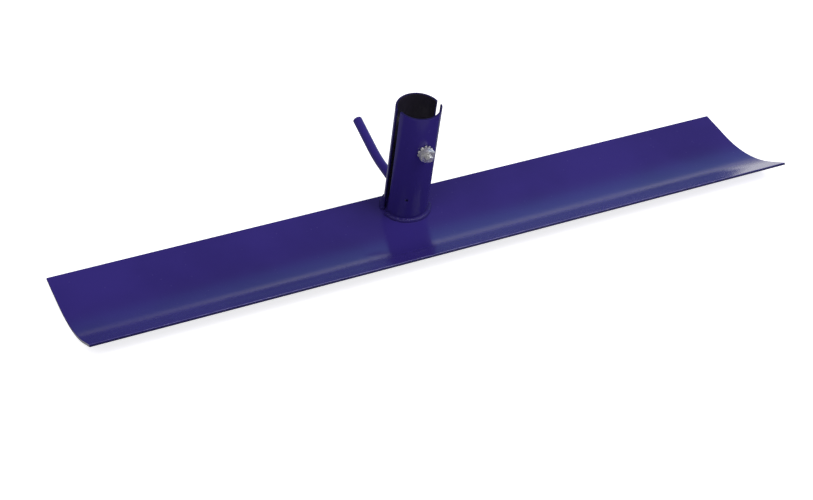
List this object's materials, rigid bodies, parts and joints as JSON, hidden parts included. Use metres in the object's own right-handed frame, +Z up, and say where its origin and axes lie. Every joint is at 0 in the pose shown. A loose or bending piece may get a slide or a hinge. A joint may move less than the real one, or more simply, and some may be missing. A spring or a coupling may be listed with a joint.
{
  "type": "concrete placer head",
  "caption": "Wide dished steel blade for dragging and pushing wet concrete, with a split handle socket, a through clamp bolt and a rear bar hook for lifting mesh",
  "frame": {"origin": "On the ground under the middle of the head's overall box, with the head lying on its convex bend where it balances.", "axes": "+X runs along the blade to its right end as seen from the front, +Y to the rear, where the hook points, and +Z up."},
  "size_m": [0.61, 0.1928, 0.1147],
  "materials": {
    "paint": "gloss indigo paint on mild steel",
    "zinc": "bright zinc plate on steel"
  },
  "bodies": {
    "head": {"blade": "paint", "socket_front_shell": "paint", "socket_rear_shell": "paint", "front_foot_weld": "paint", "rear_foot_weld": "paint", "hook_rod": "paint", "hook_weld_bead": "paint"},
    "bolt": {"clamp_bolt": "zinc"},
    "washer": {"lock_washer": "zinc"},
    "nut": {"clamp_nut": "zinc"}
  },
  "joints": [
    {"name": "bolt_turn", "type": "hinge", "parent": "head", "child": "bolt", "pos_m": [-0.006, -0.01828, 0.08047], "axis": [0, -0.966, -0.2585], "continuous": true},
    {"name": "nut_travel", "type": "slide", "parent": "bolt", "child": "washer", "axis": [0, -0.966, -0.2585], "range_m": [0, 0.0075]},
    {"name": "nut_turn", "type": "hinge", "parent": "washer", "child": "nut", "pos_m": [-0.006, -0.01828, 0.08047], "axis": [0, -0.966, -0.2585], "range_deg": [0, 2127]}
  ],
  "couplings": [
    {"joint": "nut_turn", "follows": "nut_travel", "rad_per_m": 4947.4}
  ]
}
